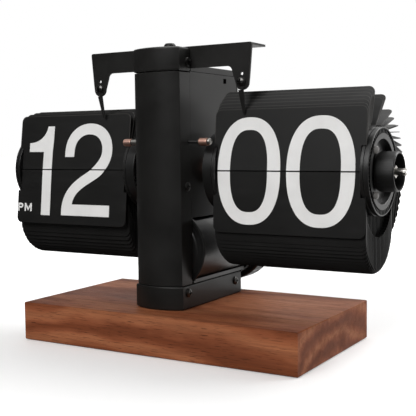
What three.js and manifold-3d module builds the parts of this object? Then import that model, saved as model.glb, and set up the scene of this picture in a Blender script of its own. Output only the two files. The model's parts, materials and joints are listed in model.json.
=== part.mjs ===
// Flip number clock: a column on a wooden base carries two drums of falling leaves,
// the hours on one side and the minutes on the other, on one common axle.
//
// Millimetres. +Z is up, +X is to the right of a person who faces the clock, and the clock
// faces -Y. The origin is the centre of the base's resting face. Inside the "clock" group
// X = 0 is the middle of the column, and inside the "drums" group the axle is the X axis.

import * as THREE from "three";
import { mergeVertices } from "three/addons/utils/BufferGeometryUtils.js";
import Module from "manifold-3d";

const wasm = await Module();
wasm.setup();

// ---------------------------------------------------------------- driving dimensions

const CLOCK_X = -4.5; // the column stands a little left of the base's middle
const AXIS_Y = 3.1;
const AXIS_Z = 84;
const GAP = 0.3; // running clearance
const FIT = 0.15; // between pieces that are fastened together

const BASE = { width: 150, depth: 82, top: 19, edge: 0.6, counterbore: 5, headRoom: 7 };
const BASE_SCREW = { head: 4, shank: 1.9, headLow: 3.4, headHigh: 6.6, top: 25, front: -20, back: 23 };

// Column, cap and foot are D sections: flat back and sides, bowed front.
const COLUMN = { half: 12.6, front: -27.6, corner: -23.8, back: -14.7, low: 30.4, high: 130.5, wall: 1.6 };
const CAP = { half: 12.9, front: -27.9, corner: -24.1, back: -14.8, low: 130.7, high: 142, edge: 1.1 };
const FOOT = { half: 13.4, front: -28.2, corner: -24.3, back: 32.2, low: 19.05, high: 30.3, edge: 0.9 };
const FOOT_POCKET = { half: 11.9, front: -14.6, back: 30.7, floor: 21.4 };
const FOOT_BOSS = 4.2;
const TRAY = { half: 11.6, lip: 12.9, low: 21.7, floor: 23.1, lipLow: 30.6, high: 32.3, front: -13.9, back: 37 };
const TRAY_INSIDE = 10;

const SIDE_SCREW = { head: 2.1, dome: 1.2, shank: 1, length: 2.2 };
const FOOT_SCREWS = { front: [-19.8, 26.9], back: [26, 26.1] }; // [y, z]
const CAP_SCREW = [-17.2, 135.3];
const COLUMN_SCREW = [-18.4, 77];
const TOP_BUTTON = { y: -12, head: 2.85, crown: 2.1, top: 145, stem: 1.2, foot: 141.65 }; // in the bracket's flange

const BRACKET = { half: 45.4, high: 142.6, band: 132.4, front: -14.6, sheet: 1, flangeBack: 1 };
const ARM = { x: 40.4, low: 121.2, round: 3.4, outer: 44.1, inner: 36.2, shoulder: 35, fillet: 2.7, waist: 127 };
const ARM_HOLE = { x: 40.2, z: 128.6, radius: 0.75 };
const CLIP = { x: 40, z: 124.9, radius: 2.3, low: 121.5, half: 1.5, thick: 0.5 };
const FINGER = { half: 1.4, tip: 0.6, high: 121.3, low: 110.2 };
const FINGER_LEAN = 15;

const STOP = { y: -17.5, z: 98, from: 12.9, to: 24.4, wire: 0.7, sleeve: 1.8, sleeveFrom: 19.4, sleeveTo: 23.6 };

const HOUSING = { half: 12.4, front: -14.4, back: 31, low: 62, high: 131, wall: 1.2, ceiling: 129.6, floor: 68.2 };
const VENT = { y: [17.6, 20.4], z: [127, 129.4] };
const LID = { half: 12.2, low: 131.15, high: 134.2, front: -13.3, riserBack: 1, riserHigh: 141.45 };
const COVER = { front: 31.15, back: 32.8 };

const TUBE = { z: 46.5, outer: 18.4, inner: 17.3, front: -13.4, back: 41.5, flange: 19.4, flangeFront: -14.3 };
const TUBE_CLEAR = 18.8;
const CELL = { radius: 16.4, front: -9.8, back: 49.4, nub: 4.6, nubFront: -11.9 };
const CONTACT = { radius: 7, front: -12.85, back: -12.3 };
const BATTERY_CAP = { grip: 23.2, front: 42.1, back: 54.5, skirt: 20.2, skirtFront: 37.6, seat: 18.8, bore: 17.2 };
const SPRING = { coils: 3, wide: 8, narrow: 4.5, wire: 0.45, front: 50.2, back: 52.1 };

const AXLE = { radius: 1.6, left: -101.4, right: 111.2 };
const DISC = { radius: 19.3, teeth: 60, depth: 0.8, toothed: 1.3, recess: 14.6, web: 1.6 };
const POST = { radius: 1.7, y: -10.7, z: 9.4, proud: 0.5 };
const DRUM = { near: 19.6, nearFace: 26.1, core: 9, coreWall: 1.5 };
const FAR_DISC = { minute: { face: 96.9, open: 101 }, hour: { face: 94.5, open: 97.5 } };
const KNOB = { radius: 8.9, wall: 0.9, from: 98.8, to: 108, floor: 103.4, hub: 3.3, hubEnd: 104.2 };
const NUT = { radius: 2.9, from: 104.35, to: 106.4 };
const END_CLIP = { radius: 3.2, from: -99.7, to: -97.8 };

// A leaf is measured across the drum (near and far edge) and away from its hinge line.
const LEAF = { near: 24.7, far: 98.9, notchNear: 26.4, notchFar: 96.6, notch: 11.2, length: 28.2, thick: 0.4 };
const HOUR_SHORTER = 2.4; // the hour leaves end this much nearer the column
const LEAF_CORNER = 3;
const LEAF_ROOT = 0.25; // from the hinge line to the edge of a leaf on show
const HINGE = { front: -17.5, rise: 0.5 }; // hinge line of the two leaves on show, from the axle
const SLEEVE = { outer: 16.6, inner: 15.7, near: 26.5, far: 96.5 };
const PIVOT_RADIUS = 16.5; // where the other leaves hang in the discs
const PACK_ROOT = -0.35;

// The leaves are pivoted at equal steps round the drum. The first few stand in a stack behind the
// leaf on show. The ones that have passed the top lie back by their stop angle, but some cling
// together in bunches: a bunch is [its last leaf, the angle they share]. Those below hang down.
const MINUTE_LEAVES = { side: 1, count: 60, lean: 6, tuck: 2, stack: 6, stackLean: 1.9, stop: 83, notch: 11.9 };
MINUTE_LEAVES.bunches = [[9, 134], [11, 155], [12, 164], [14, 173]];
const HOUR_LEAVES = { side: -1, count: 48, lean: 8, tuck: 6, stack: 0, stackLean: 0, stop: 97.2, notch: 12.6 };
HOUR_LEAVES.bunches = [];
const BUNCH_STEP = 1.2; // between neighbours in a bunch

// Reduction 24:1 from the axle to the hour wheel: (wheel / pinion) * (hour / pinion).
const TRAIN = { pinion: 8, wheel: 32, hour: 48, fastModule: 0.875, slowModule: 0.625 };
const MOTOR = { pinion: 8, wheel: 40, module: 0.625, radius: 9.3, from: 4.8, to: 10.7, shaft: 0.75 };
const PLANES = { hour: [-9.7, -7.2], slow: [-9.9, -5.6], fast: [-5.6, -3], pinion: [-5.9, -2.6], drive: [1, 3.5] };
const SLEEVE_SHAFT = { outer: 3.2, inner: 1.9, end: -20.9 };
const BUSH = { body: 4.6, flange: 6.2, inside: 10.4, outside: 14.2 };
const BOARD = { half: 9.5, front: 28, back: 29.4, low: 72, high: 126 };

// ---------------------------------------------------------------- materials

const finish = (color, roughness, metalness) => new THREE.MeshStandardMaterial({ color, roughness, metalness });
const WOOD = finish(0x8a4f33, 0.55, 0);
const SATIN_BLACK = finish(0x201f1e, 0.45, 0.3);
const BLACK_PLASTIC = finish(0x171717, 0.5, 0);
const LEAF_PLASTIC = finish(0x2b2a29, 0.55, 0);
const STEEL = finish(0xb9b7b2, 0.3, 1);
const COPPER = finish(0xb87a5c, 0.35, 0.9);
const NYLON = finish(0xd8d4c8, 0.5, 0);
const CELL_WRAP = finish(0x3c4a58, 0.4, 0.4);
const BOARD_GREEN = finish(0x2b5a3a, 0.5, 0);

// ---------------------------------------------------------------- solids

const radians = THREE.MathUtils.degToRad;

// A closed three.js geometry as a solid that can be joined and cut.
function solid(geometry) {
  const bare = geometry.index ? geometry.toNonIndexed() : geometry.clone();
  bare.deleteAttribute("normal");
  bare.deleteAttribute("uv");
  const merged = mergeVertices(bare, 1e-4);
  const vertProperties = new Float32Array(merged.attributes.position.array);
  const triVerts = new Uint32Array(merged.index.array);
  return new wasm.Manifold(new wasm.Mesh({ numProp: 3, vertProperties, triVerts }));
}

function geometryOf(body) {
  const { vertProperties, triVerts } = body.getMesh();
  const geometry = new THREE.BufferGeometry();
  geometry.setAttribute("position", new THREE.BufferAttribute(new Float32Array(vertProperties), 3));
  geometry.setIndex(new THREE.BufferAttribute(new Uint32Array(triVerts), 1));
  geometry.computeVertexNormals();
  return geometry;
}

const join = (first, ...others) => others.reduce((all, next) => all.add(next), first);
const cut = (first, ...tools) => tools.reduce((left, tool) => left.subtract(tool), first);

// A box from one corner to the other.
function block([x0, x1], [y0, y1], [z0, z1]) {
  const geometry = new THREE.BoxGeometry(x1 - x0, y1 - y0, z1 - z0);
  return solid(geometry.translate((x0 + x1) / 2, (y0 + y1) / 2, (z0 + z1) / 2));
}

// Turns a shape made along +Y onto another axis and moves it sideways to the given centre.
function aim(geometry, axis, [u, v] = [0, 0]) {
  if (axis === "x") return geometry.rotateZ(-Math.PI / 2).translate(0, u, v);
  if (axis === "y") return geometry.translate(u, 0, v);
  return geometry.rotateX(Math.PI / 2).translate(u, v, 0);
}

function rod(axis, [from, to], radius, centre, segments = 24) {
  const geometry = new THREE.CylinderGeometry(radius, radius, to - from, segments);
  return solid(aim(geometry.translate(0, (from + to) / 2, 0), axis, centre));
}

function pipe(axis, [from, to], outer, inner, centre, segments = 24) {
  const bore = rod(axis, [from - 1, to + 1], inner, centre, Math.max(24, segments));
  return cut(rod(axis, [from, to], outer, centre, segments), bore);
}

// A turned shape from [radius, distance along the axis] pairs that close on the axis or on themselves.
function turned(axis, profile, centre, segments = 32) {
  const points = profile.map(([radius, along]) => new THREE.Vector2(radius, along));
  return solid(aim(new THREE.LatheGeometry(points, segments), axis, centre));
}

// A flat outline made thick along Z, with eased edges if asked.
function slab(outline, [from, to], edge = 0, curveSegments = 5) {
  const geometry = new THREE.ExtrudeGeometry(outline, {
    depth: to - from - 2 * edge,
    curveSegments,
    bevelEnabled: edge > 0,
    bevelThickness: edge,
    bevelSize: edge,
    bevelOffset: -edge,
    bevelSegments: 2,
  });
  return solid(geometry.translate(0, 0, from + edge));
}

const ALONG_X = [new THREE.Vector3(0, 1, 0), new THREE.Vector3(0, 0, 1), new THREE.Vector3(1, 0, 0)];
const ALONG_Y = [new THREE.Vector3(1, 0, 0), new THREE.Vector3(0, 0, 1), new THREE.Vector3(0, -1, 0)];

// An outline in (y, z) made thick along X.
function slabX(outline, [from, to], curveSegments = 5) {
  const geometry = new THREE.ExtrudeGeometry(outline, { depth: to - from, bevelEnabled: false, curveSegments });
  return solid(geometry.applyMatrix4(new THREE.Matrix4().makeBasis(...ALONG_X)).translate(from, 0, 0));
}

// An outline in (x, z) made thick along Y.
function slabY(outline, [from, to], curveSegments = 5) {
  const geometry = new THREE.ExtrudeGeometry(outline, { depth: to - from, bevelEnabled: false, curveSegments });
  return solid(geometry.applyMatrix4(new THREE.Matrix4().makeBasis(...ALONG_Y)).translate(0, to, 0));
}

const polygon = (points) => new THREE.Shape(points.map(([x, y]) => new THREE.Vector2(x, y)));

// ---------------------------------------------------------------- scene graph

const root = new THREE.Group();
const clock = new THREE.Group();
clock.position.x = CLOCK_X;
root.add(clock);
const drums = new THREE.Group();
drums.position.set(0, AXIS_Y, AXIS_Z);
clock.add(drums);

function piece(parent, name, body, material) {
  const mesh = new THREE.Mesh(geometryOf(body), material);
  mesh.name = name;
  parent.add(mesh);
  return mesh;
}

// ---------------------------------------------------------------- base, foot and tray

const rectangle = (width, depth) =>
  polygon([[-width / 2, -depth / 2], [width / 2, -depth / 2], [width / 2, depth / 2], [-width / 2, depth / 2]]);

function addBase() {
  const places = [[CLOCK_X, BASE_SCREW.front], [CLOCK_X, BASE_SCREW.back]];
  const tools = places.flatMap((place) => [
    rod("z", [-1, BASE.headRoom], BASE.counterbore, place),
    rod("z", [0, BASE.top + 1], BASE_SCREW.shank + GAP, place, 16),
  ]);
  const board = slab(rectangle(BASE.width, BASE.depth), [0, BASE.top], BASE.edge);
  piece(root, "base_block", cut(board, ...tools), WOOD);

  for (const [name, y] of [["base_screw_front", BASE_SCREW.front], ["base_screw_back", BASE_SCREW.back]]) {
    const head = rod("z", [BASE_SCREW.headLow, BASE_SCREW.headHigh], BASE_SCREW.head, [0, 0], 16);
    const shank = rod("z", [BASE_SCREW.headHigh - 1, BASE_SCREW.top], BASE_SCREW.shank, [0, 0], 16);
    piece(clock, name, join(head, shank), STEEL).position.y = y;
  }
}

// A D section: bowed across the front between its two corners, flat at the sides and back.
function bowed({ half, front, corner, back }) {
  const rise = corner - front;
  const radius = (half * half + rise * rise) / (2 * rise);
  const reach = Math.asin(half / radius);
  const outline = new THREE.Shape();
  outline.moveTo(half, back);
  outline.lineTo(-half, back);
  outline.lineTo(-half, corner);
  outline.absarc(0, front + radius, radius, -Math.PI / 2 - reach, -Math.PI / 2 + reach, false);
  outline.closePath();
  return outline;
}

const shrunk = ({ half, front, corner, back }, by) =>
  bowed({ half: half - by, front: front + by, corner: corner + by, back: back - by });

function addFoot() {
  const { half, front, back, floor } = FOOT_POCKET;
  const over = FOOT.high + 1;
  const socket = [-COLUMN.half + 3, COLUMN.half - 3];
  const holes = Object.values(FOOT_SCREWS).map((at) => rod("x", [-20, 20], SIDE_SCREW.shank + GAP, at, 12));
  const bosses = [BASE_SCREW.front, BASE_SCREW.back];
  const shell = cut(
    slab(bowed(FOOT), [FOOT.low, FOOT.high], FOOT.edge),
    block([-half, half], [front, back], [floor, over]),
    block(socket, [COLUMN.corner, front - 1.8], [floor, over]),
  );
  const body = cut(
    join(shell, ...bosses.map((y) => rod("z", [floor - 1, BASE_SCREW.top + 0.5], FOOT_BOSS, [0, y], 16))),
    ...bosses.map((y) => rod("z", [0, FOOT.high], BASE_SCREW.shank + GAP, [0, y], 16)),
    rod("y", [front, FOOT.back + 1], TUBE.flange + GAP, [0, TUBE.z], 40),
    ...holes,
  );
  piece(clock, "foot_shoe", body, SATIN_BLACK);
}

// The tray stands in the foot, and its two lips cradle the battery tube.
function addTray() {
  const span = [TRAY.front, TRAY.back];
  const trough = join(
    block([-TRAY.half, TRAY.half], span, [TRAY.low, TRAY.high]),
    block([-TRAY.lip, TRAY.lip], span, [TRAY.lipLow, TRAY.high]),
  );
  const tools = [
    block([-TRAY_INSIDE, TRAY_INSIDE], [TRAY.front - 1, TRAY.back + 1], [TRAY.floor, TRAY.high + 1]),
    rod("y", [TRAY.front - 1, TRAY.back + 1], TUBE_CLEAR, [0, TUBE.z], 40),
    rod("y", [TRAY.front - 1, TUBE.front + 1], TUBE.flange + GAP, [0, TUBE.z], 40),
    block([-20, 20], [FOOT_POCKET.back - GAP, TRAY.back + 1], [0, TRAY.lipLow]),
    rod("z", [0, BASE_SCREW.top + 1], FOOT_BOSS + 0.8, [0, BASE_SCREW.back], 16),
    rod("x", [-20, 20], SIDE_SCREW.shank + GAP, FOOT_SCREWS.back, 12),
  ];
  piece(clock, "battery_tray", cut(trough, ...tools), BLACK_PLASTIC);
}

// ---------------------------------------------------------------- column and cap

function addColumn() {
  const holes = [COLUMN_SCREW].map((at) => rod("x", [-20, 20], SIDE_SCREW.shank + GAP, at, 12));
  const shell = cut(
    slab(bowed(COLUMN), [COLUMN.low, COLUMN.high]),
    slab(shrunk(COLUMN, COLUMN.wall), [COLUMN.low - 1, COLUMN.high + 1]),
    ...holes,
  );
  piece(clock, "column_shell", shell, SATIN_BLACK);

  const roof = CAP.high - 2.4;
  const cap = cut(
    slab(bowed(CAP), [CAP.low, CAP.high], CAP.edge),
    slab(shrunk(CAP, COLUMN.wall), [CAP.low - 1, roof]),
    rod("x", [-20, 20], SIDE_SCREW.shank + GAP, CAP_SCREW, 12),
  );
  piece(clock, "top_cap", cap, SATIN_BLACK);
}

// A pan-head screw that lies along X in a side wall: its head outside, its shank inside.
function addSideScrew(name, side, wall, [y, z]) {
  const { head, dome, shank, length } = SIDE_SCREW;
  const seat = wall + 0.05;
  const profile = [
    [0, seat - length],
    [shank, seat - length],
    [shank, seat],
    [head, seat],
    [head, seat + dome * 0.45],
    [head * 0.72, seat + dome * 0.9],
    [0, seat + dome],
  ];
  const mesh = piece(clock, name, turned("x", profile, [0, 0], 16), STEEL);
  mesh.rotation.z = side > 0 ? 0 : Math.PI;
  mesh.position.set(0, y, z);
}

function addSideScrews() {
  for (const [word, side] of [["right", 1], ["left", -1]]) {
    addSideScrew(`cap_screw_${word}`, side, CAP.half, CAP_SCREW);
    addSideScrew(`column_screw_${word}`, side, COLUMN.half, COLUMN_SCREW);
    addSideScrew(`foot_screw_front_${word}`, side, FOOT.half, FOOT_SCREWS.front);
    addSideScrew(`foot_screw_back_${word}`, side, FOOT.half, FOOT_SCREWS.back);
  }
}

// ---------------------------------------------------------------- bracket, clips and fingers

// Half of the bracket's web in (x, z), from the top middle round the arm to the band's lower edge.
function armOutline(side) {
  const outline = new THREE.Shape();
  const foot = ARM.low + ARM.round;
  outline.moveTo(0, BRACKET.high);
  outline.lineTo(0, BRACKET.band);
  outline.lineTo(ARM.shoulder - ARM.fillet, BRACKET.band);
  outline.quadraticCurveTo(ARM.shoulder, BRACKET.band, ARM.shoulder + 0.3, BRACKET.band - ARM.fillet);
  outline.lineTo(ARM.x - ARM.round, foot);
  outline.absarc(ARM.x, foot, ARM.round, Math.PI, 2 * Math.PI, false);
  outline.lineTo(ARM.outer, ARM.waist);
  outline.lineTo(BRACKET.half, BRACKET.high - 1);
  outline.quadraticCurveTo(BRACKET.half, BRACKET.high, BRACKET.half - 1, BRACKET.high);
  outline.closePath();
  const body = slabY(outline, [BRACKET.front, BRACKET.front + BRACKET.sheet]);
  return side > 0 ? body : body.mirror([1, 0, 0]);
}

function addBracket() {
  const web = join(armOutline(1), armOutline(-1));
  const flange = block(
    [-BRACKET.half + 1, BRACKET.half - 1],
    [BRACKET.front, BRACKET.flangeBack],
    [BRACKET.high - BRACKET.sheet, BRACKET.high],
  );
  const holes = [1, -1].flatMap((side) => [
    rod("y", [-20, 0], ARM_HOLE.radius, [side * ARM_HOLE.x, ARM_HOLE.z], 12),
    rod("y", [-20, 0], SIDE_SCREW.shank + GAP, [side * CLIP.x, CLIP.z], 12),
  ]);
  const around = [TOP_BUTTON.foot - 2, BRACKET.high + 1];
  const buttonHole = rod("z", around, TOP_BUTTON.stem + GAP, [0, TOP_BUTTON.y], 16);
  piece(clock, "leaf_bracket", cut(join(web, flange), ...holes, buttonHole), SATIN_BLACK);
}

// A round button pressed into the middle of the bracket's flange, just behind the cap.
function addTopButton() {
  const { head, crown, top, stem, foot } = TOP_BUTTON;
  const seat = BRACKET.high + 0.05;
  const dome = [[head, top - 1.1], [crown, top - 0.2], [crown - 0.6, top], [0, top]];
  const profile = [[0, foot], [stem, foot], [stem, seat], [head, seat], ...dome];
  piece(clock, "top_button", turned("z", profile, [0, 0], 24), SATIN_BLACK).position.y = TOP_BUTTON.y;
}

// Each arm holds a clip with a screw, and a springy finger below it that keeps the top leaf up.
function addFinger(word, side) {
  const x = side * CLIP.x;
  const back = BRACKET.front - 0.05;
  const front = back - CLIP.thick;
  const eye = rod("y", [front, back], CLIP.radius, [0, CLIP.z], 20);
  const tab = block([-CLIP.half, CLIP.half], [front, back], [CLIP.low, CLIP.z]);
  const clip = cut(join(eye, tab), rod("y", [-20, 0], SIDE_SCREW.shank + GAP, [0, CLIP.z], 12));
  piece(clock, `${word}_finger_clip`, clip, SATIN_BLACK).position.x = x;

  const { head, dome, shank, length } = SIDE_SCREW;
  const profile = [[0, -length], [shank, -length], [shank, 0], [head, 0], [head, dome * 0.5], [head * 0.7, dome], [0, dome]];
  const screw = piece(clock, `${word}_finger_screw`, turned("y", profile, [0, 0], 16), STEEL);
  screw.rotation.z = Math.PI;
  screw.position.set(x, front - 0.05, CLIP.z);

  const drop = FINGER.high - FINGER.low;
  const strip = polygon([[-FINGER.tip, -drop], [FINGER.tip, -drop], [FINGER.half, 0], [-FINGER.half, 0]]);
  const finger = piece(clock, `${word}_finger`, slabY(strip, [-CLIP.thick, 0]), SATIN_BLACK);
  finger.rotation.x = radians(FINGER_LEAN);
  finger.position.set(x, back - 0.2, FINGER.high);
}

// A wire from the column's side with a copper sleeve, which the near edge of a leaf comes to rest by.
function addLeafStop(word, side) {
  const at = [STOP.y, STOP.z];
  const ends = (from, to) => (side > 0 ? [from, to] : [-to, -from]);
  piece(clock, `${word}_stop_wire`, rod("x", ends(STOP.from, STOP.to), STOP.wire, at, 12), STEEL);
  const sleeve = pipe("x", ends(STOP.sleeveFrom, STOP.sleeveTo), STOP.sleeve, STOP.wire + FIT, at, 20);
  piece(clock, `${word}_stop_sleeve`, sleeve, COPPER);
}

// ---------------------------------------------------------------- movement housing

function addHousing() {
  const { half, front, back, low, high, wall, ceiling, floor } = HOUSING;
  const axle = [AXIS_Y, AXIS_Z];
  const tubeClear = (from, to, radius) => rod("y", [from, to], radius, [0, TUBE.z], 40);
  const shell = cut(
    block([-half, half], [front, back], [low, high]),
    block([-half + wall, half - wall], [front + wall, back + 1], [floor, ceiling]),
    tubeClear(front - 1, back + 1, TUBE_CLEAR),
    tubeClear(front - 1, TUBE.front + 0.6, TUBE.flange + GAP),
    rod("x", [-20, 20], BUSH.body + GAP, axle),
    block([-20, 20], VENT.y, VENT.z),
  );
  piece(clock, "movement_housing", shell, SATIN_BLACK);

  const cover = cut(
    block([-half, half], [COVER.front, COVER.back], [low, high]),
    tubeClear(COVER.front - 1, COVER.back + 1, TUBE_CLEAR),
  );
  piece(clock, "housing_rear_cover", cover, SATIN_BLACK);

  const lid = join(
    block([-LID.half, LID.half], [LID.front, COVER.back], [LID.low, LID.high]),
    block([-LID.half, LID.half], [LID.front, LID.riserBack], [LID.low, LID.riserHigh]),
  );
  piece(clock, "housing_lid", lid, SATIN_BLACK);

  for (const [word, side, bore] of [["minute", 1, AXLE.radius], ["hour", -1, SLEEVE_SHAFT.outer]]) {
    const span = (from, to) => (side > 0 ? [from, to] : [-to, -from]);
    const seat = half + 0.1;
    const bush = cut(
      join(
        rod("x", span(BUSH.inside, seat + 0.5), BUSH.body, [0, 0]),
        rod("x", span(seat, BUSH.outside), BUSH.flange, [0, 0]),
      ),
      rod("x", [-20, 20], bore + GAP, [0, 0]),
    );
    piece(drums, `${word}_bush`, bush, COPPER);
  }
}

// ---------------------------------------------------------------- battery

function addBattery() {
  const centre = [0, TUBE.z];
  const shell = join(
    rod("y", [TUBE.front, TUBE.back], TUBE.outer, centre, 40),
    rod("y", [TUBE.flangeFront, TUBE.front + 0.5], TUBE.flange, centre, 40),
  );
  const hollow = rod("y", [TUBE.front + 0.4, TUBE.back + 1], TUBE.inner, centre, 40);
  piece(clock, "battery_tube", cut(shell, hollow), BLACK_PLASTIC);

  const plate = rod("y", [CONTACT.front, CONTACT.back], CONTACT.radius, centre, 20);
  piece(clock, "contact_plate", plate, STEEL);

  const { radius, front, back, nub, nubFront } = CELL;
  const profile = [[0, nubFront], [nub, nubFront], [nub, front], [radius - 1, front], [radius, front + 1],
    [radius, back - 1], [radius - 1, back], [0, back]];
  piece(clock, "battery_cell", turned("y", profile, centre, 32), CELL_WRAP);

  const cap = BATTERY_CAP;
  const wallBack = cap.back - 1.6;
  const capProfile = [[0, wallBack], [cap.bore, wallBack], [cap.bore, cap.front], [cap.seat, cap.front],
    [cap.seat, cap.skirtFront], [cap.skirt, cap.skirtFront], [cap.skirt, cap.front], [cap.grip - 0.8, cap.front],
    [cap.grip, cap.front + 0.8], [cap.grip, cap.back - 1.2], [cap.grip - 1.2, cap.back], [0, cap.back]];
  piece(clock, "battery_cap", turned("y", capProfile, centre, 36), BLACK_PLASTIC);
  addSpring(centre);
}

// A conical coil that presses the cell forward.
function addSpring([x, z]) {
  class Coil extends THREE.Curve {
    getPoint(t, target = new THREE.Vector3()) {
      const angle = t * SPRING.coils * 2 * Math.PI;
      const radius = THREE.MathUtils.lerp(SPRING.wide, SPRING.narrow, t);
      const along = THREE.MathUtils.lerp(SPRING.back, SPRING.front, t);
      return target.set(x + radius * Math.cos(angle), along, z + radius * Math.sin(angle));
    }
  }
  const wire = new THREE.Shape();
  wire.absarc(0, 0, SPRING.wire, 0, 2 * Math.PI, false);
  const geometry = new THREE.ExtrudeGeometry(wire, { steps: 36, extrudePath: new Coil(), curveSegments: 3 });
  piece(clock, "battery_spring", solid(geometry), STEEL);
}

// ---------------------------------------------------------------- gears and motor

// A spur gear's outline with flat-topped teeth, the first of them centred at the given angle.
function gearOutline(teeth, module, phase = 0) {
  const pitch = (teeth * module) / 2;
  const tip = pitch + 0.75 * module;
  const root = pitch - 0.95 * module;
  const step = (2 * Math.PI) / teeth;
  const points = [];
  for (let i = 0; i < teeth; i += 1) {
    for (const [radius, share] of [[root, -0.29], [tip, -0.1], [tip, 0.1], [root, 0.29]]) {
      const angle = phase + (i + share) * step;
      points.push([radius * Math.cos(angle), radius * Math.sin(angle)]);
    }
  }
  return polygon(points);
}

const gear = (teeth, module, span, phase) => slabX(gearOutline(teeth, module, phase), span, 1);

function addTrain() {
  const up = Math.PI / 2;
  const { pinion, wheel, hour, fastModule, slowModule } = TRAIN;
  const reach = ((pinion + wheel) * fastModule) / 2;

  const minuteWheel = cut(
    join(
      gear(MOTOR.wheel, MOTOR.module, PLANES.drive, 0),
      gear(pinion, fastModule, PLANES.pinion, up),
      rod("x", [PLANES.pinion[1] - 0.5, PLANES.drive[0] + 0.5], 2.9, [0, 0]),
    ),
    rod("x", [-20, 20], AXLE.radius + FIT, [0, 0]),
  );
  piece(drums, "minute_wheel", minuteWheel, NYLON);

  const hourWheel = cut(
    join(
      gear(hour, slowModule, PLANES.hour, up + Math.PI / hour),
      rod("x", [SLEEVE_SHAFT.end, PLANES.hour[0] + 0.5], SLEEVE_SHAFT.outer, [0, 0]),
    ),
    rod("x", [-30, 0], SLEEVE_SHAFT.inner, [0, 0]),
  );
  piece(drums, "hour_wheel", hourWheel, NYLON);

  const reduction = join(
    gear(wheel, fastModule, PLANES.fast, -up + Math.PI / wheel),
    gear(pinion, slowModule, PLANES.slow, -up),
    rod("x", [PLANES.slow[0] - 0.9, PLANES.fast[1] + 1.4], 1, [0, 0], 12),
  );
  piece(drums, "reduction_wheel", reduction, NYLON).position.z = reach;

  const motorReach = ((MOTOR.pinion + MOTOR.wheel) * MOTOR.module) / 2;
  const motorPinion = join(
    gear(MOTOR.pinion, MOTOR.module, [PLANES.drive[0] - 0.3, PLANES.drive[1] + 0.3], Math.PI + Math.PI / MOTOR.pinion),
    rod("x", [PLANES.drive[1], MOTOR.from + 2], MOTOR.shaft, [0, 0], 12),
  );
  piece(drums, "motor_pinion", motorPinion, STEEL).position.y = motorReach;

  const motor = cut(
    rod("x", [MOTOR.from, MOTOR.to], MOTOR.radius, [0, 0], 32),
    rod("x", [MOTOR.from - 1, MOTOR.from + 3], MOTOR.shaft + GAP, [0, 0], 12),
  );
  piece(drums, "motor", motor, STEEL).position.y = motorReach;

  const board = block([-BOARD.half, BOARD.half], [BOARD.front, BOARD.back], [BOARD.low, BOARD.high]);
  piece(clock, "circuit_board", board, BOARD_GREEN);
}

// ---------------------------------------------------------------- drums

// A cup-shaped end disc. Its web faces the leaves at "face", and a fine-toothed edge faces "open".
function disc(face, open, bore, posts = []) {
  const away = Math.sign(open - face);
  const toothed = open - away * DISC.toothed;
  const step = Math.PI / DISC.teeth;
  const edge = [];
  for (let i = 0; i < 2 * DISC.teeth; i += 1) {
    const radius = DISC.radius - (i % 2) * DISC.depth;
    edge.push([radius * Math.cos(i * step), radius * Math.sin(i * step)]);
  }
  const span = (a, b) => [Math.min(a, b), Math.max(a, b)];
  const solidDisc = join(
    rod("x", span(face, toothed), DISC.radius, [0, 0], DISC.teeth),
    slabX(polygon(edge), span(toothed - away * 0.4, open), 1),
  );
  const recess = rod("x", span(face + away * DISC.web, open + away), DISC.recess, [0, 0], 30);
  const hub = rod("x", span(face - away, open + away), bore, [0, 0]);
  return cut(join(cut(solidDisc, recess), ...posts), hub);
}

const POST_SPAN = [FAR_DISC.minute.face + 0.5, FAR_DISC.minute.open + POST.proud];

// The two end discs of a drum and the core that joins them. Two posts stand in the minute drum's
// outer recess.
function addDrum(word, side) {
  const bore = AXLE.radius + (side > 0 ? FIT : GAP);
  piece(drums, `${word}_inner_disc`, disc(side * DRUM.nearFace, side * DRUM.near, hubBore(side, bore)), BLACK_PLASTIC);
  const posts = side > 0 ? [POST.z, -POST.z].map((z) => rod("x", POST_SPAN, POST.radius, [POST.y, z], 16)) : [];
  const { face, open } = FAR_DISC[word];
  piece(drums, `${word}_outer_disc`, disc(side * face, side * open, bore, posts), BLACK_PLASTIC);
  const ends = [side * (DRUM.nearFace + FIT), side * (face - FIT)].sort((a, b) => a - b);
  piece(drums, `${word}_core`, pipe("x", ends, DRUM.core, DRUM.core - DRUM.coreWall, [0, 0], 32), BLACK_PLASTIC);
}

// The hour drum's inner disc sits on the hour wheel's sleeve, the others on the axle.
const hubBore = (side, bore) => (side > 0 ? bore : SLEEVE_SHAFT.outer + FIT);

function addAxle() {
  piece(drums, "main_axle", rod("x", [AXLE.left, AXLE.right], AXLE.radius, [0, 0]), STEEL);

  const { radius, wall, from, to, floor, hub, hubEnd } = KNOB;
  const bore = AXLE.radius + FIT;
  const profile = [[bore, from], [radius, from], [radius, to], [radius - wall, to], [radius - wall, floor],
    [hub, floor], [hub, hubEnd], [bore, hubEnd], [bore, from]];
  piece(drums, "setting_knob", turned("x", profile, [0, 0], 28), BLACK_PLASTIC);
  piece(drums, "axle_nut", pipe("x", [NUT.from, NUT.to], NUT.radius, bore, [0, 0], 6), STEEL);
  piece(drums, "axle_end_clip", pipe("x", [END_CLIP.from, END_CLIP.to], END_CLIP.radius, bore, [0, 0]), STEEL);
}

// ---------------------------------------------------------------- leaves

const farTrim = (side) => (side > 0 ? 0 : HOUR_SHORTER);

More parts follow.
